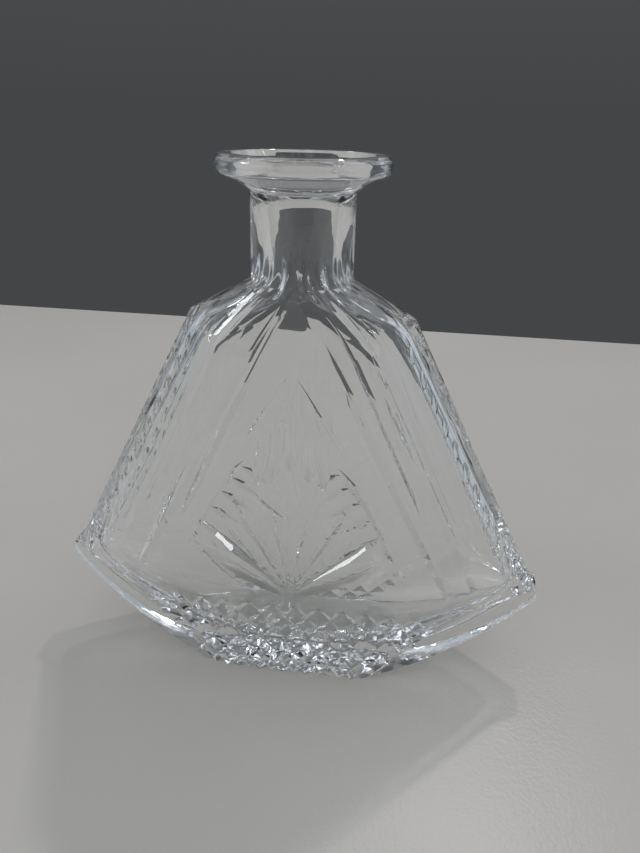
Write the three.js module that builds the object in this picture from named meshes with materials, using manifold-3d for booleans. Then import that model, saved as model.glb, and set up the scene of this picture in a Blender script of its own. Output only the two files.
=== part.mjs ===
// Fan-shaped wine decanter in clear glass: pouring lip, neck, hollow faceted body and boat-shaped base.
// Millimetres, +Z up, X across the fan, Y through its thin side. The origin is the middle of the foot.
import * as THREE from "three";
import { ConvexGeometry } from "three/addons/geometries/ConvexGeometry.js";
import { mergeVertices } from "three/addons/utils/BufferGeometryUtils.js";
import Module from "manifold-3d";

const wasm = await Module();
wasm.setup();

// Heights
const HEIGHT = 198; // top of the lip
const LIP_BASE = 187; // where the lip's cone meets the neck
const NECK_BASE = 157; // where the neck meets the shoulder
const SHOULDER = 144.5; // outer corner of the shoulder
const BELT_TIP = 40; // seam between body and base, at the tips
const BELT_MIDDLE = 32; // the same seam, on the middle plane

// Neck and lip
const NECK_RADIUS = 18;
const BORE_TOP = 14.5; // bore radius at the lip
const BORE_BASE = 11.5; // bore radius at the foot of the neck
const LIP_RADIUS = 29.5;
const LIP_THICKNESS = 7.4; // height of the lip's edge
const LIP_LOWER_ROUND = 3.4; // radii of the edge's rounded corners
const LIP_UPPER_ROUND = 2.4;
const MOUTH_RADIUS = 24.5; // the dished top narrows from here to the bore
const DISH_DEPTH = 7;

// Body: half sizes
const SHOULDER_HALF = 40.8;
const TIP_HALF = 96.6; // tip of the base
const TIP_DEPTH = 5.6;
const TIP_HEIGHT = 35; // underside of the tip
const FOOT_HALF = 27;
const FOOT_DEPTH = 25;
const RIM_STEP = 1.4; // the base stands out past the body at the tips
const EDGE_DEPTH = 1.5; // half thickness of the body's sharp side edge

// Glass
const WALL = 4.6;
const FLOOR = 9;
const GAP = 0.3; // clearance where two pieces of glass are fused
const ROUND_STEPS = 48;
const ARC_STEPS = 9;

// The middle panel leans back from the foot to the neck, so its depth falls with height.
function panelDepth(z) {
  return FOOT_DEPTH + (NECK_RADIUS - FOOT_DEPTH) * (z / NECK_BASE);
}

// The underside is an arc through the foot's ends and the tips.
const ARC_CENTRE = (TIP_HALF ** 2 + TIP_HEIGHT ** 2 - FOOT_HALF ** 2) / (2 * TIP_HEIGHT);
const ARC_RADIUS = Math.hypot(FOOT_HALF, ARC_CENTRE);

function undersideHeight(x) {
  return ARC_CENTRE - Math.sqrt(ARC_RADIUS ** 2 - x ** 2);
}

// The underside narrows in a straight line from the foot to the tips.
function undersideDepth(x) {
  return FOOT_DEPTH + ((TIP_DEPTH - FOOT_DEPTH) * (x - FOOT_HALF)) / (TIP_HALF - FOOT_HALF);
}

// Each list holds [x, y, z] in the quarter with positive x and y; four copies make the whole outline.
function mirrored(points) {
  const signs = [
    [1, 1],
    [1, -1],
    [-1, 1],
    [-1, -1],
  ];
  return signs.flatMap(([sx, sy]) => points.map(([x, y, z]) => new THREE.Vector3(sx * x, sy * y, z)));
}

// The ridges between the body's facets run from the shoulder down to the seam. The middle panel's own
// ridge starts at the neck, so it has a lower end only.
function shoulderPoints() {
  return [
    [27, 17.8, 136],
    [33, 14, 135],
    [37.4, 8, 140.5],
    [SHOULDER_HALF, EDGE_DEPTH, SHOULDER],
  ];
}

function beltPoints() {
  return [
    [62, panelDepth(38), 38],
    [72, 18.8, 38],
    [79, 14.3, 38.5],
  ];
}

function sideEdgePoints() {
  return [
    [88.6, 6.4, BELT_TIP],
    [TIP_HALF - RIM_STEP, EDGE_DEPTH, BELT_TIP],
  ];
}

function neckCircle(z) {
  const points = [];
  for (let i = 0; i < ROUND_STEPS / 4; i++) {
    const angle = (i * 2 * Math.PI) / ROUND_STEPS;
    points.push([NECK_RADIUS * Math.cos(angle), NECK_RADIUS * Math.sin(angle), z]);
  }
  points.push([0, NECK_RADIUS, z]);
  return points;
}

function undersidePoints(shorter = 0) {
  const points = [];
  for (let i = 0; i <= ARC_STEPS; i++) {
    const x = FOOT_HALF + ((TIP_HALF - shorter - FOOT_HALF) * i) / ARC_STEPS;
    points.push([x, undersideDepth(x), undersideHeight(x)]);
  }
  return points;
}

function bodyHull() {
  const ridges = [...shoulderPoints(), ...beltPoints(), ...sideEdgePoints()];
  return mirrored([...neckCircle(NECK_BASE - GAP), ...ridges, ...undersidePoints(RIM_STEP)]);
}

function baseHull() {
  const rimCorner = [TIP_HALF, TIP_DEPTH, BELT_TIP + 1];
  return mirrored([...undersidePoints(), ...beltPoints(), rimCorner]);
}

// Planes of a convex hull, as unit normals and distances from a point inside it.
function hullPlanes(points, inside) {
  const geometry = new ConvexGeometry(points);
  const corners = geometry.getAttribute("position");
  const triangle = new THREE.Triangle();
  const planes = [];
  for (let i = 0; i < corners.count; i += 3) {
    triangle.setFromAttributeAndIndices(corners, i, i + 1, i + 2);
    const normal = triangle.getNormal(new THREE.Vector3());
    const distance = normal.dot(triangle.a) - normal.dot(inside);
    planes.push({ normal, distance });
  }
  return planes;
}

// The cavity: every outer face moved in by its own thickness. The corners of the smaller hull come
// from the hull of its dual points.
function insetHull(points, inside) {
  const dual = hullPlanes(points, inside).map(({ normal, distance }) => {
    const thickness = normal.z < -0.5 ? FLOOR : WALL;
    return normal.clone().divideScalar(distance - thickness);
  });
  const origin = new THREE.Vector3();
  return hullPlanes(dual, origin).map(({ normal, distance }) => normal.clone().divideScalar(distance).add(inside));
}

function toSolid(geometry) {
  const bare = geometry.clone();
  bare.deleteAttribute("normal");
  bare.deleteAttribute("uv");
  const merged = mergeVertices(bare, 1e-4);
  const mesh = new wasm.Mesh({
    numProp: 3,
    vertProperties: new Float32Array(merged.getAttribute("position").array),
    triVerts: new Uint32Array(merged.getIndex().array),
  });
  return new wasm.Manifold(mesh);
}

function toGeometry(solid) {
  const mesh = solid.getMesh();
  const geometry = new THREE.BufferGeometry();
  geometry.setAttribute("position", new THREE.BufferAttribute(new Float32Array(mesh.vertProperties), 3));
  geometry.setIndex(new THREE.BufferAttribute(new Uint32Array(mesh.triVerts), 1));
  geometry.computeVertexNormals();
  return geometry;
}

// A turned ring or plug about Z, from [radius, height] points in order.
function turned(profile) {
  const points = profile.map(([radius, height]) => new THREE.Vector2(radius, height));
  const geometry = new THREE.LatheGeometry(points, ROUND_STEPS);
  geometry.rotateX(Math.PI / 2);
  return geometry;
}

// Points of an arc in a turned profile, with the angles in degrees from straight outwards.
function arcPoints(radius, height, round, from, to, steps = 5) {
  const points = [];
  for (let i = 0; i <= steps; i++) {
    const angle = THREE.MathUtils.degToRad(from + ((to - from) * i) / steps);
    points.push([radius + round * Math.cos(angle), height + round * Math.sin(angle)]);
  }
  return points;
}

function lipGeometry() {
  const lower = HEIGHT - LIP_THICKNESS + LIP_LOWER_ROUND;
  const upper = HEIGHT - LIP_UPPER_ROUND;
  const base = [BORE_TOP, LIP_BASE + GAP];
  return turned([
    base,
    [NECK_RADIUS, LIP_BASE + GAP],
    [NECK_RADIUS + 0.6, LIP_BASE + 1.4],
    ...arcPoints(LIP_RADIUS - LIP_LOWER_ROUND, lower, LIP_LOWER_ROUND, -65, 0),
    ...arcPoints(LIP_RADIUS - LIP_UPPER_ROUND, upper, LIP_UPPER_ROUND, 0, 90),
    [MOUTH_RADIUS, HEIGHT],
    [BORE_TOP + 4, HEIGHT - DISH_DEPTH / 2],
    [BORE_TOP, HEIGHT - DISH_DEPTH],
    base,
  ]);
}

function neckGeometry() {
  const boreMiddle = (BORE_TOP + BORE_BASE) / 2;
  const middle = (LIP_BASE + NECK_BASE) / 2;
  return turned([
    [BORE_BASE, NECK_BASE],
    [NECK_RADIUS, NECK_BASE],
    [NECK_RADIUS, LIP_BASE],
    [BORE_TOP, LIP_BASE],
    [boreMiddle, middle],
    [BORE_BASE, NECK_BASE],
  ]);
}

// Everything above (side = 1) or below (side = -1) the seam, which is an arc across the fan.
function beltHalf(side) {
  const reach = TIP_HALF + WALL;
  const rise = (BELT_TIP - BELT_MIDDLE) / TIP_HALF ** 2;
  const far = side > 0 ? HEIGHT : -WALL;
  const shift = (side * GAP) / 2;
  const outline = new THREE.Shape();
  outline.moveTo(-reach, far);
  for (let i = 0; i <= 2 * ARC_STEPS; i++) {
    const x = -reach + (i * reach) / ARC_STEPS;
    outline.lineTo(x, BELT_MIDDLE + rise * x * x + shift);
  }
  outline.lineTo(reach, far);
  outline.closePath();
  const depth = 4 * FOOT_DEPTH;
  const geometry = new THREE.ExtrudeGeometry(outline, { depth, bevelEnabled: false });
  geometry.translate(0, 0, -depth / 2);
  geometry.rotateX(Math.PI / 2);
  return toSolid(geometry);
}

function cavitySolid() {
  const inside = new THREE.Vector3(0, 0, SHOULDER / 2);
  const chamber = toSolid(new ConvexGeometry(insetHull(bodyHull(), inside)));
  const boreLow = SHOULDER - 2 * WALL;
  const boreHigh = NECK_BASE + WALL;
  const bore = turned([
    [0, boreLow],
    [BORE_BASE, boreLow],
    [BORE_BASE, boreHigh],
    [0, boreHigh],
  ]);
  return chamber.add(toSolid(bore));
}

function glass(name, geometry, colour) {
  const material = new THREE.MeshStandardMaterial({ color: colour, roughness: 0.04, metalness: 0 });
  const mesh = new THREE.Mesh(geometry, material);
  mesh.name = name;
  return mesh;
}

const cavity = cavitySolid();
const bodySolid = toSolid(new ConvexGeometry(bodyHull())).intersect(beltHalf(1)).subtract(cavity);
const baseSolid = toSolid(new ConvexGeometry(baseHull())).intersect(beltHalf(-1)).subtract(cavity);

const decanter = new THREE.Group();
decanter.add(glass("pouring_lip", lipGeometry(), "#e4ebea"));
decanter.add(glass("neck", neckGeometry(), "#dfe6e5"));
decanter.add(glass("body", toGeometry(bodySolid), "#dbe3e1"));
decanter.add(glass("base", toGeometry(baseSolid), "#d5dedc"));

export default decanter;
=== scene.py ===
"""Clear pressed-glass wine decanter: the looks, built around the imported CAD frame."""
import math
import bmesh
import bpy
from mathutils import Matrix, Vector
from mathutils.bvhtree import BVHTree

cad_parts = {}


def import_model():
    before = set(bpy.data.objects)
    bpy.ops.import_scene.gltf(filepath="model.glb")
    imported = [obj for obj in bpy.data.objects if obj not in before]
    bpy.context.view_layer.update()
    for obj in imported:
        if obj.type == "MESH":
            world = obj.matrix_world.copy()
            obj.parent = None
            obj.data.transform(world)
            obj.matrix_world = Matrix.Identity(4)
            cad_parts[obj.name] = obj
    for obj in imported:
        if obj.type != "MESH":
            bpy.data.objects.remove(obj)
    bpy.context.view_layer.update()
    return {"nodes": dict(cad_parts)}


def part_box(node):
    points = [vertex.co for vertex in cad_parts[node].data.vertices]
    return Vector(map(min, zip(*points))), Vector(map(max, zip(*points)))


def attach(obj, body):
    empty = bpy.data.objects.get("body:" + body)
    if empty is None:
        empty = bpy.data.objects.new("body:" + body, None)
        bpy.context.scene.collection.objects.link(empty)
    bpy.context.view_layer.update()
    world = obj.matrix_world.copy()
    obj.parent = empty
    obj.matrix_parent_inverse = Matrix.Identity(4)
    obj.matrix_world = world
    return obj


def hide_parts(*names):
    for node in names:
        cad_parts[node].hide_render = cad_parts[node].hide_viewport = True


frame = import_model()

# ---------------------------------------------------------------------------
# Sizes in millimetres, worked out from the CAD nodes. Meshes are scaled to metres when they are made.
# ---------------------------------------------------------------------------
MM = 0.001


def box_mm(node):
    """Lowest and highest corner of a CAD node in millimetres."""
    low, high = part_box(node)
    return Vector(low) / MM, Vector(high) / MM


LIP_HIGH = box_mm("pouring_lip")[1]
NECK_LOW, NECK_HIGH = box_mm("neck")
BASE_HIGH = box_mm("base")[1]

HEIGHT = LIP_HIGH.z
LIP_RADIUS = LIP_HIGH.x
LIP_BASE = NECK_HIGH.z
NECK_RADIUS = NECK_HIGH.x
NECK_BASE = NECK_LOW.z
FOOT_DEPTH = BASE_HIGH.y

# How far the straight neck goes down into the shoulder.
NECK_SINK = 1.5

# Points around a full turn of a round shape.
ROUND = 160


# ---------------------------------------------------------------------------
# Mesh helpers
# ---------------------------------------------------------------------------
def placed(name, bm):
    """A new object in the scene from a bmesh in metres."""
    mesh = bpy.data.meshes.new(name)
    bm.to_mesh(mesh)
    bm.free()
    obj = bpy.data.objects.new(name, mesh)
    bpy.context.scene.collection.objects.link(obj)
    return obj


def mesh_object(name, bm):
    """A new object from a closed bmesh in millimetres, with its faces pointing out."""
    bmesh.ops.scale(bm, vec=(MM, MM, MM), verts=bm.verts)
    bmesh.ops.recalc_face_normals(bm, faces=bm.faces)
    return placed(name, bm)


def bake(obj):
    """Applies the object's modifiers to its mesh and removes them."""
    graph = bpy.context.evaluated_depsgraph_get()
    mesh = bpy.data.meshes.new_from_object(obj.evaluated_get(graph))
    obj.modifiers.clear()
    old = obj.data
    obj.data = mesh
    bpy.data.meshes.remove(old)


def boolean(obj, tool, operation):
    """Joins or cuts obj with tool, and removes tool."""
    modifier = obj.modifiers.new("boolean", "BOOLEAN")
    modifier.operation = operation
    modifier.solver = "MANIFOLD"
    modifier.object = tool
    bake(obj)
    bpy.data.objects.remove(tool)


def hull(points, merge=0.05, flat=1.5):
    """A bmesh of the convex hull of points.

    Points closer than merge become one, and faces that bend by less than flat degrees become one.
    """
    bm = bmesh.new()
    for point in points:
        bm.verts.new(point)
    bmesh.ops.remove_doubles(bm, verts=bm.verts, dist=merge)
    made = bmesh.ops.convex_hull(bm, input=bm.verts)
    left_over = made["geom_interior"] + made["geom_unused"]
    inner = [part for part in left_over if isinstance(part, bmesh.types.BMVert)]
    bmesh.ops.delete(bm, geom=list(set(inner)), context="VERTS")
    bmesh.ops.dissolve_limit(bm, angle_limit=math.radians(flat), verts=bm.verts, edges=bm.edges)
    return bm


def soften(bm, width, segments, smallest=8.0):
    """Rounds the edges of a hull that bend by more than the smallest angle, in degrees."""
    sharp = [e for e in bm.edges if e.is_manifold and math.degrees(e.calc_face_angle()) > smallest]
    bmesh.ops.bevel(
        bm,
        geom=sharp,
        offset=width,
        offset_type="OFFSET",
        segments=segments,
        profile=0.5,
        affect="EDGES",
        clamp_overlap=True,
    )
    return bm


def turned(profile):
    """A bmesh turned about Z from a line of (radius, height) that starts and ends on the axis."""
    bm = bmesh.new()
    angles = [2 * math.pi * i / ROUND for i in range(ROUND)]
    rings = []
    for radius, height in profile:
        if radius == 0:
            rings.append([bm.verts.new((0, 0, height))])
        else:
            circle = [(radius * math.cos(a), radius * math.sin(a), height) for a in angles]
            rings.append([bm.verts.new(point) for point in circle])
    for lower, upper in zip(rings, rings[1:]):
        for i in range(ROUND):
            j = (i + 1) % ROUND
            corners = [lower[i % len(lower)], lower[j % len(lower)]]
            corners += [upper[j % len(upper)], upper[i % len(upper)]]
            bm.faces.new(list(dict.fromkeys(corners)))
    return bm


def arc(radius, height, round_radius, start, end, steps=8):
    """Points of an arc in a turned profile, with angles in degrees from straight outwards."""
    points = []
    for i in range(steps + 1):
        angle = math.radians(start + (end - start) * i / steps)
        points.append((radius + round_radius * math.cos(angle), height + round_radius * math.sin(angle)))
    return points


# ---------------------------------------------------------------------------
# Outer shape and hollow
# ---------------------------------------------------------------------------
def node_points(node):
    """A CAD node's vertices in millimetres."""
    return [v.co / MM for v in frame["nodes"][node].data.vertices]


def outer_solid():
    """Body and base as the hulls of their CAD nodes, with softened edges, joined into one solid.

    The body's hull reaches down over the gap between the two nodes.
    """
    reach = Vector((0, 0, 0.5))
    body = node_points("body")
    body += [p - reach for p in body]
    solid = mesh_object("decanter_glass", soften(hull(body), width=0.9, segments=3))
    base = mesh_object("base_tool", soften(hull(node_points("base")), width=1.2, segments=4))
    boolean(solid, base, "UNION")
    return solid


def top_solid():
    """Lip and neck, which reach a little into the body."""
    root_reach, root_taper = 6, 2
    flare, flare_height = 0.7, 0.8
    crease = 0.1
    cone_radius, cone_height = 22.8, 2.8
    rim_height = 6.8
    lower_round, upper_round = 3.0, 2.4
    profile = [
        (0, NECK_BASE - root_reach),
        (NECK_RADIUS - root_taper, NECK_BASE - root_reach),
        (NECK_RADIUS, NECK_BASE - NECK_SINK),
        (NECK_RADIUS, LIP_BASE - flare_height),
        (NECK_RADIUS + flare, LIP_BASE - crease),
        (cone_radius, LIP_BASE + cone_height),
    ]
    profile += arc(LIP_RADIUS - lower_round, HEIGHT - rim_height + lower_round, lower_round, -60, 0)
    profile += arc(LIP_RADIUS - upper_round, HEIGHT - upper_round, upper_round, 0, 90)
    profile += [(0, HEIGHT)]
    return mesh_object("top_tool", turned(profile))


# Rings of the hollow: height, half width, half depth, and how square the ring is along X and along Y.
# A ring of half width a and half depth b holds the points where |x/a|^p + |y/b|^q = 1.
HOLLOW = [
    (9.0, 18.0, 12.0, 4.6, 1.4),
    (9.9, 27.5, 16.0, 4.6, 1.3),
    (13.0, 41.0, 18.6, 4.6, 1.25),
    (20.0, 58.5, 19.2, 4.6, 1.25),
    (30.0, 76.0, 19.0, 4.6, 1.25),
    (36.0, 84.0, 18.8, 4.6, 1.25),
    (40.0, 86.4, 18.6, 4.6, 1.25),
    (46.0, 84.6, 18.3, 4.6, 1.25),
    (90.0, 62.0, 16.4, 4.6, 1.25),
    (130.0, 41.6, 14.6, 4.6, 1.25),
    (138.0, 37.2, 14.2, 4.2, 1.3),
    (143.0, 33.0, 13.9, 3.8, 1.4),
    (147.0, 27.0, 13.6, 3.2, 1.6),
    (151.0, 19.6, 13.0, 2.6, 1.8),
    (155.0, 14.2, 11.6, 2.2, 1.9),
    (160.0, 11.8, 11.4, 2.0, 2.0),
    (165.0, 11.3, 11.3, 2.0, 2.0),
    (182.0, 13.1, 13.1, 2.0, 2.0),
    (184.5, 14.0, 14.0, 2.0, 2.0),
    (187.0, 16.0, 16.0, 2.0, 2.0),
    (191.0, 19.6, 19.6, 2.0, 2.0),
    (195.0, 22.6, 22.6, 2.0, 2.0),
    (198.4, 24.8, 24.8, 2.0, 2.0),
]
HOLLOW_STEP = 1.0

# Unevenness of the inner skin, and the upright ribs inside the foot of the neck.
RIPPLE = 0.04
RIBS = 16
RIB_DEPTH = 0.45
RIB_MIDDLE = 157.0
RIB_REACH = 7.0


def calm(one, other):
    """A slope between two neighbours that never overshoots."""
    if one * other <= 0:
        return 0.0
    return 2 * one * other / (one + other)


def between(rows, height):
    """A row for this height, on a smooth curve through rows whose first number is their height."""
    last = len(rows) - 2
    i = max(k for k in range(last + 1) if rows[k][0] <= height or k == 0)
    before, start, end, after = rows[max(i - 1, 0)], rows[i], rows[i + 1], rows[min(i + 2, last + 1)]
    span = end[0] - start[0]
    t = (height - start[0]) / span
    row = []
    for k in range(1, len(start)):
        slope = (end[k] - start[k]) / span
        slope_in = (start[k] - before[k]) / (start[0] - before[0]) if i > 0 else slope
        slope_out = (after[k] - end[k]) / (after[0] - end[0]) if i < last else slope
        leave = calm(slope_in, slope) * span
        reach = calm(slope, slope_out) * span
        row.append(
            start[k] * (2 * t**3 - 3 * t**2 + 1)
            + leave * (t**3 - 2 * t**2 + t)
            + end[k] * (3 * t**2 - 2 * t**3)
            + reach * (t**3 - t**2)
        )
    return row


def signed_power(value, power):
    """A power of the value's size that keeps its sign."""
    return math.copysign(abs(value) ** power, value)


def ripple(x, y, height):
    """The gentle unevenness of the inside of pressed glass, in millimetres, halved inside the neck."""
    long_wave = math.sin(x / 4.1 + 1.7 * math.sin(height / 13.0) + (0.8 if y > 0 else 2.1))
    cross_wave = math.sin(height / 5.3 + 1.3 * math.sin(x / 9.0))
    share = 1.0 if height < NECK_BASE else 0.5
    return share * RIPPLE * (0.6 * long_wave + 0.4 * cross_wave)


def rib(angle, height):
    """Upright ribs inside the foot of the neck, where the shoulder's flutes press through."""
    fade = math.exp(-(((height - RIB_MIDDLE) / RIB_REACH) ** 2))
    return RIB_DEPTH * fade * math.cos(RIBS * angle)


def hollow_tool():
    """The inside from the floor of the chamber to the mouth, one smooth skin."""
    bm = bmesh.new()
    low, high = HOLLOW[0][0], HOLLOW[-1][0]
    count = round((high - low) / HOLLOW_STEP)
    rings = []
    for i in range(count + 1):
        height = low + (high - low) * i / count
        wide, deep, p, q = between(HOLLOW, height)
        ring = []
        for k in range(ROUND):
            angle = 2 * math.pi * k / ROUND
            x = wide * signed_power(math.cos(angle), 2 / p)
            y = deep * signed_power(math.sin(angle), 2 / q)
            inwards = rib(angle, height)
            swell = ripple(x, y, height) - inwards
            ring.append(bm.verts.new((x * (1 - inwards / wide), y * (1 + swell / deep), height)))
        rings.append(ring)
    for lower, upper in zip(rings, rings[1:]):
        for k in range(ROUND):
            j = (k + 1) % ROUND
            bm.faces.new((lower[k], lower[j], upper[j], upper[k]))
    bm.faces.new(rings[0])
    bm.faces.new(rings[-1])
    return mesh_object("hollow_tool", bm)


# ---------------------------------------------------------------------------
# Pressed pattern: every cut is a groove along a line on the outer skin
# ---------------------------------------------------------------------------
# How far a cutter's edge and its lid stand above the skin.
ABOVE = 0.5
LID = 5.0

# How deep the panel's pattern is on the back, as a share of its depth on the front.
BACK_SHARE = 0.35

# The signs of X and Y that mirror a cut to its other places.
FOUR = [(1, -1), (-1, -1), (1, 1), (-1, 1)]
TWO = [(1, -1), (1, 1)]


def groove(bm, path, normal, width, depth, deepest=0.5, even=2, rounded=False, pointed=True, steps=16):
    """Adds a closed cutter for one groove, which is deepest part way along and runs out at both ends.

    The path holds two points, or three for a curve. A rounded groove has a hollow section and a plain
    one a V section, and its ends are pointed or round. The higher even is, the longer the groove keeps
    its full depth.
    """
    normal = Vector(normal).normalized()
    path = [Vector(p) for p in path]
    if len(path) == 2:
        path = [path[0], (path[0] + path[1]) / 2, path[1]]
    run_out = (1 + ABOVE / depth) ** (1 / even)
    first = deepest - deepest * run_out
    final = deepest + (1 - deepest) * run_out
    across = [i / 4 - 1 for i in range(9)] if rounded else [-1, 0, 1]
    sections = []
    for i in range(steps + 1):
        s = (first + final) / 2 - (final - first) / 2 * math.cos(math.pi * i / steps)
        point = path[0] * (1 - s) ** 2 + path[1] * 2 * s * (1 - s) + path[2] * s**2
        if i in (0, steps):
            tip = bm.verts.new(point + normal * ABOVE)
            top = bm.verts.new(point + normal * LID)
            sections.append([tip] * len(across) + [top] * 2)
            continue
        reach = deepest if s < deepest else 1 - deepest
        keel = depth * (1 - (abs(s - deepest) / reach) ** even)
        direction = (path[1] - path[0]) * (1 - s) + (path[2] - path[1]) * s
        side = direction.cross(normal).normalized()
        height = keel + ABOVE
        share = height / depth
        half = width / 2 * (share if pointed else math.sqrt(share))
        section = []
        for t in across:
            rise = height * (t * t if rounded else abs(t)) - keel
            section.append(point + side * half * t + normal * rise)
        section += [point + side * half + normal * LID, point - side * half + normal * LID]
        sections.append([bm.verts.new(p) for p in section])
    count = len(across) + 2
    for one, other in zip(sections, sections[1:]):
        for k in range(count):
            j = (k + 1) % count
            corners = list(dict.fromkeys([one[k], one[j], other[j], other[k]]))
            if len(corners) > 2:
                bm.faces.new(corners)


def reflected(point, side_x, side_y):
    """The point, with its X and Y times the signs given."""
    return Vector((point[0] * side_x, point[1] * side_y, point[2]))


def cut_layer(glass, sides, *grooves, back=1.0):
    """Cuts grooves, and their mirror images, out of the glass.

    A groove is (path, normal, width, depth, options). Those on the back have this share of the depth.
    """
    bm = bmesh.new()
    for side_x, side_y in sides:
        strength = back if side_y > 0 else 1.0
        for path, normal, width, depth, options in grooves:
            points = [reflected(p, side_x, side_y) for p in path]
            groove(bm, points, reflected(normal, side_x, side_y), width, depth * strength, **options)
    boolean(glass, mesh_object("layer_tool", bm), "DIFFERENCE")


def panel_depth(height):
    """Half depth of the front panel, which leans in towards the neck."""
    return FOOT_DEPTH - (FOOT_DEPTH - NECK_RADIUS) * height / NECK_BASE


PANEL_NORMAL = (0, 1, (FOOT_DEPTH - NECK_RADIUS) / NECK_BASE)


def panel_cut(places, width, depth, **options):
    """A groove on the front panel, along its (x, height) places."""
    path = [Vector((x, panel_depth(z), z)) for x, z in places]
    return (path, PANEL_NORMAL, width, depth, options)


def cut_panel(glass, sides, *grooves):
    """Cuts part of the panels' pattern, which is fainter on the back."""
    cut_layer(glass, sides, *grooves, back=BACK_SHARE)


# The middle of the star, as a place on the panel.
STAR = (0, 37)


def ray(angle, length, width, depth, start=1.0, **options):
    """A ray of the star, at an angle from straight up, in degrees."""
    direction = Vector((math.sin(math.radians(angle)), math.cos(math.radians(angle))))
    centre = Vector(STAR)
    ends = [centre + direction * start, centre + direction * length]
    return panel_cut(ends, width, depth, **options)


def cut_star(glass):
    """Broad hollow petals that fan up from the middle of the belt, with a mitre ray between each pair."""
    petal = dict(depth=1.25, rounded=True)
    cut_panel(glass, TWO, ray(0, 38, width=6.6, **petal))
    for angle, length in [(20, 40), (37.5, 44), (60, 40)]:
        cut_panel(glass, FOUR, ray(angle, length, width=7.0, **petal))
    cut_panel(glass, FOUR, ray(10, 40, width=2.4, depth=1.4, start=8))
    cut_panel(glass, FOUR, ray(28.5, 46, width=3.0, depth=1.6, start=8))
    cut_panel(glass, FOUR, ray(48, 46, width=4.0, depth=2.1, start=4))


def cut_lower_rays(glass):
    """Mitre rays that carry the star down through the band of diamonds."""
    cut_panel(glass, TWO, ray(180, 34, width=5.0, depth=2.0))
    cut_panel(glass, FOUR, ray(147, 38, width=5.0, depth=2.0))


def cut_leaves(glass):
    """Upright leaf-shaped cuts above the star."""
    leaf = dict(rounded=True, pointed=False, deepest=0.3)
    cut_panel(glass, TWO, panel_cut([(0, 91), (0, 117)], width=5.8, depth=2.3, **leaf))
    cut_panel(glass, FOUR, panel_cut([(6.8, 87), (5.6, 111)], width=5.4, depth=2.3, **leaf))
    cut_panel(glass, FOUR, panel_cut([(13.0, 84), (10.6, 104)], width=4.8, depth=2.0, **leaf))


def cut_arch(glass):
    """A pointed arch over the star, of one curved stroke a side."""
    cut_panel(glass, FOUR, panel_cut([(1.5, 127), (10.5, 112), (21.5, 95)], width=1.4, depth=0.4))


def cut_feathers(glass):
    """A sprig either side of the star: a curved stem with short leaves."""
    stem = [Vector((17, 94)), Vector((28, 84)), Vector((36, 62))]
    cut_panel(glass, FOUR, panel_cut(stem, width=2.4, depth=1.0))
    leaves = 5
    for i in range(leaves):
        t = (i + 0.5) / leaves
        start = stem[0] * (1 - t) ** 2 + stem[1] * 2 * t * (1 - t) + stem[2] * t**2
        inner = [start + Vector((-0.8, -0.5)), start + Vector((-11.5, -6.5))]
        outer = [start + Vector((0.6, -0.6)), start + Vector((5.5, -9.5))]
        for leaf in (inner, outer):
            cut_panel(glass, FOUR, panel_cut(leaf, width=3.2, depth=0.9, deepest=0.4))


def cut_diamonds(glass):
    """The band of crossed cuts below the belt, which leaves small pyramids standing.

    A cut goes sideways by its lean for each millimetre up.
    """
    spacing = 9.4
    low, high = -4, 33
    half = 57
    lean = 0.85
    back = 0.3
    slant = lean * (high - low)
    count = int((2 * half + slant) / spacing)
    for direction in (1, -1):
        lines = []
        for i in range(count + 1):
            foot = -half - slant / 2 + spacing * (i + 0.5) - direction * slant / 2
            top = foot + direction * slant
            lines.append(panel_cut([(foot, low), (top, high)], width=5.6, depth=2.5, even=8))
        cut_layer(glass, TWO, *lines, back=back)


def skin_of(obj):
    """A lookup of the nearest place on a mesh and its outward direction there, in millimetres."""
    points = [v.co / MM for v in obj.data.vertices]
    faces = [list(f.vertices) for f in obj.data.polygons]
    tree = BVHTree.FromPolygons(points, faces)

    def nearest(point):
        place, normal, _, _ = tree.find_nearest(Vector(point))
        return place, normal

    return nearest


def skin_cut(skin, places, width, depth, **options):
    """A groove whose ends lie on the nearest places of the skin."""
    path = [skin(p)[0] for p in places]
    middle = sum((Vector(p) for p in places), Vector()) / len(places)
    return (path, skin(middle)[1], width, depth, options)


def ridge(top, foot):
    """A line on one quarter of the body, from the shoulder to the belt."""
    return [Vector(top), Vector(foot)]


STRIP = ridge((3.0, 18.2, 153), (64.0, 23.0, 40))
SECOND_RIDGE = ridge((27, 17.8, 136), (72, 18.8, 38))
THIRD_RIDGE = ridge((33, 14, 135), (79, 14.3, 38.5))
FOURTH_RIDGE = ridge((37.4, 8, 140.5), (88.6, 6.4, 40))
SIDE_EDGE = ridge((40.8, 1.5, 144.5), (95.2, 1.5, 40))

# Where the long cuts start and end, as shares of a ridge.
CUT_ENDS = (0.03, 0.97)


def along(line, t):
    """The place at the share t of a ridge."""
    return line[0].lerp(line[1], t)


def cut_ridges(glass, skin):
    """A narrow strip down the first ridge, a hollow flute after the second, a mitre line by the fourth."""
    beside = 0.14
    strip = [along(STRIP, t) for t in CUT_ENDS]
    flute = [(along(SECOND_RIDGE, t) + along(THIRD_RIDGE, t)) / 2 for t in CUT_ENDS]
    mitre = [along(FOURTH_RIDGE, t).lerp(along(THIRD_RIDGE, t), beside) for t in CUT_ENDS]
    strip_shape = dict(width=3.8, depth=0.9, deepest=0.7, even=4, pointed=False)
    flute_shape = dict(width=9.0, depth=0.75, deepest=0.75, rounded=True, pointed=False)
    mitre_shape = dict(width=2.0, depth=0.8, even=8)
    cut_layer(glass, FOUR, skin_cut(skin, strip, **strip_shape))
    cut_layer(glass, FOUR, skin_cut(skin, flute, **flute_shape), back=0.5)
    cut_layer(glass, FOUR, skin_cut(skin, mitre, **mitre_shape))


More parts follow.
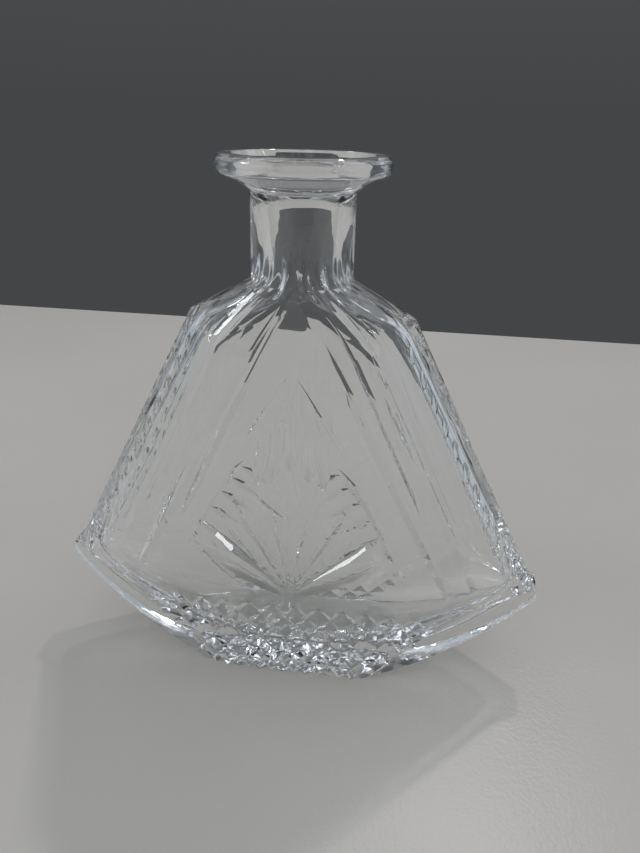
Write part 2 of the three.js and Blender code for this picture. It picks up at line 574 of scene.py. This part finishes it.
def cut_shoulder(glass, skin):
    """Short flutes from the two lanes beside the front panel, over the shoulder to the foot of the neck.

    The lanes' borders start at the tops, and meet the neck at the angles, in degrees from the side.
    """
    tops = [along(STRIP, 0.2), SECOND_RIDGE[0], THIRD_RIDGE[0]]
    angles = [80, 60, 42]
    share_of_lane = 0.8
    shape = dict(depth=0.4, rounded=True, pointed=False, deepest=0.7, even=4)
    for i in range(len(tops) - 1):
        corner = (tops[i] + tops[i + 1]) / 2
        turn = math.radians((angles[i] + angles[i + 1]) / 2)
        foot = Vector((NECK_RADIUS * math.cos(turn), NECK_RADIUS * math.sin(turn), NECK_BASE - NECK_SINK))
        width = (tops[i] - tops[i + 1]).length * share_of_lane
        cut_layer(glass, FOUR, skin_cut(skin, [foot, corner], width, **shape))


def cut_notches(glass):
    """Shallow scallops along the fourth ridge and the side edge, each longer along its edge than across.

    Each edge has a direction outwards, a step from its middle line to a side, and a spacing.
    """
    share_of_spacing = 0.8
    depth = 0.3
    shape = dict(rounded=True, pointed=False, steps=6)
    for line, normal, cross, spacing in (
        (FOURTH_RIDGE, Vector((0.66, 0.75, 0.1)), Vector((0.75, -0.66, 0)), 9.5),
        (SIDE_EDGE, Vector((0.85, 0.5, 0.2)), Vector((0.5, -0.85, 0)), 7.0),
    ):
        count = int((line[1] - line[0]).length / spacing)
        notches = []
        for i in range(count):
            middle = along(line, (i + 0.5) / count)
            path = [middle - cross, middle + cross]
            notches.append((path, normal, spacing * share_of_spacing, depth, shape))
        cut_layer(glass, FOUR, *notches)


# ---------------------------------------------------------------------------
# The whole vessel
# ---------------------------------------------------------------------------
# Edges shorter than this are merged away, and edges that bend by more degrees than this stay crisp.
SLIVER = 0.01
SHARP_ANGLE = 24


def finish_edges(glass):
    """Merges the slivers that the cuts leave, and shades each facet smooth up to its own edges."""
    bm = bmesh.new()
    bm.from_mesh(glass.data)
    for _ in range(2):
        bmesh.ops.dissolve_degenerate(bm, edges=bm.edges, dist=SLIVER * MM)
        bmesh.ops.triangulate(bm, faces=bm.faces, quad_method="BEAUTY", ngon_method="BEAUTY")
    bm.to_mesh(glass.data)
    bm.free()
    for polygon in glass.data.polygons:
        polygon.use_smooth = True
    glass.data.set_sharp_from_angle(angle=math.radians(SHARP_ANGLE))
    even = glass.modifiers.new("even_shading", "WEIGHTED_NORMAL")
    even.mode = "FACE_AREA_WITH_ANGLE"
    even.keep_sharp = True
    bake(glass)


def decanter():
    """The vessel as one closed piece of glass: the outline, the pressed pattern, then the hollow."""
    glass = outer_solid()
    skin = skin_of(glass)
    cut_ridges(glass, skin)
    cut_shoulder(glass, skin)
    boolean(glass, top_solid(), "UNION")
    cut_notches(glass)
    cut_star(glass)
    cut_leaves(glass)
    cut_arch(glass)
    cut_feathers(glass)
    cut_diamonds(glass)
    cut_lower_rays(glass)
    boolean(glass, hollow_tool(), "DIFFERENCE")
    finish_edges(glass)
    return glass


# ---------------------------------------------------------------------------
# Materials
# ---------------------------------------------------------------------------
def new_material(name):
    """A new material with its node tree, its shader and the node that its surface goes to."""
    material = bpy.data.materials.new(name)
    material.use_nodes = True
    tree = material.node_tree
    return material, tree, tree.nodes["Principled BSDF"], tree.nodes["Material Output"]


def noise(tree, place, scale, detail):
    """A noise pattern over the coordinates given."""
    node = tree.nodes.new("ShaderNodeTexNoise")
    node.inputs["Scale"].default_value = scale
    node.inputs["Detail"].default_value = detail
    tree.links.new(place, node.inputs["Vector"])
    return node.outputs["Fac"]


def ramp(tree, value, stops):
    """Colours that change with a value, from a list of (position, colour)."""
    node = tree.nodes.new("ShaderNodeValToRGB")
    elements = node.color_ramp.elements
    elements[0].position = stops[0][0]
    elements[1].position = stops[-1][0]
    for position, _ in stops[1:-1]:
        elements.new(position)
    for element, (_, colour) in zip(elements, stops):
        element.color = (*colour, 1)
    tree.links.new(value, node.inputs["Fac"])
    return node.outputs["Color"]


def relief(tree, height, strength, distance):
    """A fine relief for a shader's normal, with its distance in metres."""
    node = tree.nodes.new("ShaderNodeBump")
    node.inputs["Strength"].default_value = strength
    node.inputs["Distance"].default_value = distance
    tree.links.new(height, node.inputs["Height"])
    return node.outputs["Normal"]


def glass_material():
    """Clear glass, a little uneven in its polish and tint, with the faint waves that the mould leaves."""
    material, tree, shader, output = new_material("clear_pressed_glass")
    shader.inputs["Transmission Weight"].default_value = 1.0
    shader.inputs["IOR"].default_value = 1.52
    place = tree.nodes.new("ShaderNodeTexCoord").outputs["Object"]

    polish = tree.nodes.new("ShaderNodeMapRange")
    polish.inputs["From Min"].default_value = 0.45
    polish.inputs["From Max"].default_value = 0.75
    polish.inputs["To Max"].default_value = 0.035
    tree.links.new(noise(tree, place, 160.0, 3.0), polish.inputs["Value"])
    tree.links.new(polish.outputs["Result"], shader.inputs["Roughness"])

    tints = [(0.35, (0.975, 0.985, 0.98)), (0.65, (0.99, 0.996, 0.998))]
    tree.links.new(ramp(tree, noise(tree, place, 25.0, 2.0), tints), shader.inputs["Base Color"])

    waves = relief(tree, noise(tree, place, 140.0, 1.0), strength=0.18, distance=0.0003)
    tree.links.new(waves, shader.inputs["Normal"])

    shadow = tree.nodes.new("ShaderNodeBsdfTransparent")
    shadow.inputs["Color"].default_value = (0.83, 0.84, 0.84, 1)
    path = tree.nodes.new("ShaderNodeLightPath")
    mix = tree.nodes.new("ShaderNodeMixShader")
    tree.links.new(path.outputs["Is Shadow Ray"], mix.inputs["Fac"])
    tree.links.new(shader.outputs["BSDF"], mix.inputs[1])
    tree.links.new(shadow.outputs["BSDF"], mix.inputs[2])
    tree.links.new(mix.outputs["Shader"], output.inputs["Surface"])
    return material


def floor_material():
    """A pale laminate: faint mottling and a fine grain that breaks up its soft shine."""
    material, tree, shader, _ = new_material("pale_table")
    shader.inputs["Roughness"].default_value = 0.36
    shader.inputs["Specular IOR Level"].default_value = 0.22
    place = tree.nodes.new("ShaderNodeTexCoord").outputs["Object"]
    tints = [(0.3, (0.48, 0.455, 0.42)), (0.7, (0.52, 0.494, 0.46))]
    tree.links.new(ramp(tree, noise(tree, place, 3.0, 4.0), tints), shader.inputs["Base Color"])
    grain = relief(tree, noise(tree, place, 700.0, 2.0), strength=0.25, distance=0.0004)
    tree.links.new(grain, shader.inputs["Normal"])
    return material


# ---------------------------------------------------------------------------
# Stage, in metres: a pale table, soft light and the camera
# ---------------------------------------------------------------------------
def floor():
    """The table top, a hair below the foot, with its far edge behind the decanter."""
    half_width = 1.6
    near, far = -1.2, 0.49
    level = -0.0003
    corners = [(-half_width, near), (half_width, near), (half_width, far), (-half_width, far)]
    bm = bmesh.new()
    bm.faces.new([bm.verts.new((x, y, level)) for x, y in corners])
    obj = placed("floor", bm)
    obj.data.materials.append(floor_material())


def area_light(name, place, target, size, watts, colour=(1, 1, 1)):
    """A rectangular lamp that points at its target and doesn't show in the picture itself."""
    data = bpy.data.lights.new(name, "AREA")
    data.shape = "RECTANGLE"
    data.size, data.size_y = size
    data.energy = watts
    data.color = colour
    obj = bpy.data.objects.new(name, data)
    obj.location = place
    direction = Vector(target) - Vector(place)
    obj.rotation_euler = direction.to_track_quat("-Z", "Y").to_euler()
    obj.visible_camera = False
    bpy.context.scene.collection.objects.link(obj)


def lights():
    """A key light high behind, thin tubes overhead, a lamp for each side of the star, and two windows."""
    cool = (0.9, 0.95, 1)
    pale = (0.95, 0.98, 1)
    daylight = (0.86, 0.94, 1)
    middle = (0, 0, 0.1)
    star = (0, 0, 0.06)
    area_light("key", (0.38, 1.48, 2.2), (0, 0, 0.05), (0.1, 0.1), 22)
    area_light("tube_left", (-0.9, 0.5, 1.5), middle, (0.025, 1.2), 1.0, cool)
    area_light("tube_middle", (0.0, -0.3, 1.7), middle, (1.2, 0.025), 1.0, cool)
    area_light("tube_right", (1.0, 0.2, 1.4), middle, (0.025, 1.2), 1.0, cool)
    area_light("lamp_left", (-1.04, -0.38, 0.5), star, (0.24, 0.24), 2.2, pale)
    area_light("lamp_right", (0.92, -0.6, 0.6), star, (0.14, 0.14), 0.8, pale)
    area_light("window", (1.9, 2.0, 1.0), (0.1, 0, 0.1), (1.7, 1.0), 1.4, daylight)
    area_light("side_window", (-1.6, 0.3, 0.7), middle, (0.8, 0.6), 0.8, cool)


def world():
    """Soft surroundings: dark behind the table, lighter to the left and right, and light overhead."""
    scene = bpy.context.scene
    scene.world = bpy.data.worlds.new("studio")
    scene.world.use_nodes = True
    tree = scene.world.node_tree
    direction = tree.nodes.new("ShaderNodeTexCoord").outputs["Generated"]
    split = tree.nodes.new("ShaderNodeSeparateXYZ")
    tree.links.new(direction, split.inputs["Vector"])
    sideways = tree.nodes.new("ShaderNodeMath")
    sideways.operation = "ABSOLUTE"
    tree.links.new(split.outputs["X"], sideways.inputs[0])

    def levels(value, stops, tint=(0.97, 1.0, 1.05)):
        colours = [(position, [level * share for share in tint]) for position, level in stops]
        return ramp(tree, value, colours)

    def mixed(kind, one, other):
        node = tree.nodes.new("ShaderNodeMix")
        node.data_type = "RGBA"
        node.blend_type = kind
        node.inputs["Factor"].default_value = 1.0
        tree.links.new(one, node.inputs["A"])
        tree.links.new(other, node.inputs["B"])
        return node.outputs["Result"]

    patches = noise(tree, direction, 5.0, 1.0)
    lamps = levels(patches, [(0.0, 0.1), (0.5, 0.12), (0.58, 0.7), (0.68, 1.8)])
    overhead = levels(split.outputs["Z"], [(0.0, 0.0), (0.52, 0.0), (0.58, 1.0), (1.0, 0.6)])
    glow = levels(split.outputs["Z"], [(0.0, 0.06), (0.16, 0.07), (0.3, 0.2), (1.0, 0.14)])
    side_stops = [(0.0, 0.0), (0.5, 0.0), (0.85, 0.42), (1.0, 0.52)]
    sides = levels(sideways.outputs["Value"], side_stops, tint=(0.9, 0.99, 1.09))
    light = mixed("LIGHTEN", mixed("MULTIPLY", overhead, lamps), mixed("LIGHTEN", glow, sides))
    tree.links.new(light, tree.nodes["Background"].inputs["Color"])


def camera():
    """The camera stands close in front, a little to the right, and looks down at the decanter."""
    azimuth = math.radians(9.33)
    distance, height = 0.2485, 0.211
    heading = math.radians(7.59)
    pitch = math.radians(24.09)
    roll = math.radians(-1.45)
    data = bpy.data.cameras.new("camera")
    data.sensor_fit = "HORIZONTAL"
    data.sensor_width = 36.0
    data.lens = 39.763125
    data.clip_start = 0.01
    obj = bpy.data.objects.new("camera", data)
    place = Vector((distance * math.sin(azimuth), -distance * math.cos(azimuth), height))
    forward = math.cos(pitch)
    look = Vector((-math.sin(heading) * forward, math.cos(heading) * forward, -math.sin(pitch)))
    right = Vector((math.cos(heading), math.sin(heading), 0))
    up = right.cross(look)
    turn = Matrix((right, up, -look)).transposed() @ Matrix.Rotation(-roll, 3, "Z")
    obj.matrix_world = Matrix.Translation(place) @ turn.to_4x4()
    bpy.context.scene.collection.objects.link(obj)
    bpy.context.scene.camera = obj


def light_paths():
    """Enough bounces to see through all the walls of glass, no caustics, and colours shown as they are."""
    scene = bpy.context.scene
    scene.cycles.max_bounces = 24
    scene.cycles.transmission_bounces = 24
    scene.cycles.glossy_bounces = 12
    scene.cycles.caustics_refractive = False
    scene.cycles.caustics_reflective = False
    scene.view_settings.view_transform = "Standard"


glass = decanter()
# The booleans leave an empty material slot, which would come first.
glass.data.materials.clear()
glass.data.materials.append(glass_material())
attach(glass, "root")
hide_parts("pouring_lip", "neck", "body", "base")

floor()
world()
lights()
camera()
light_paths()
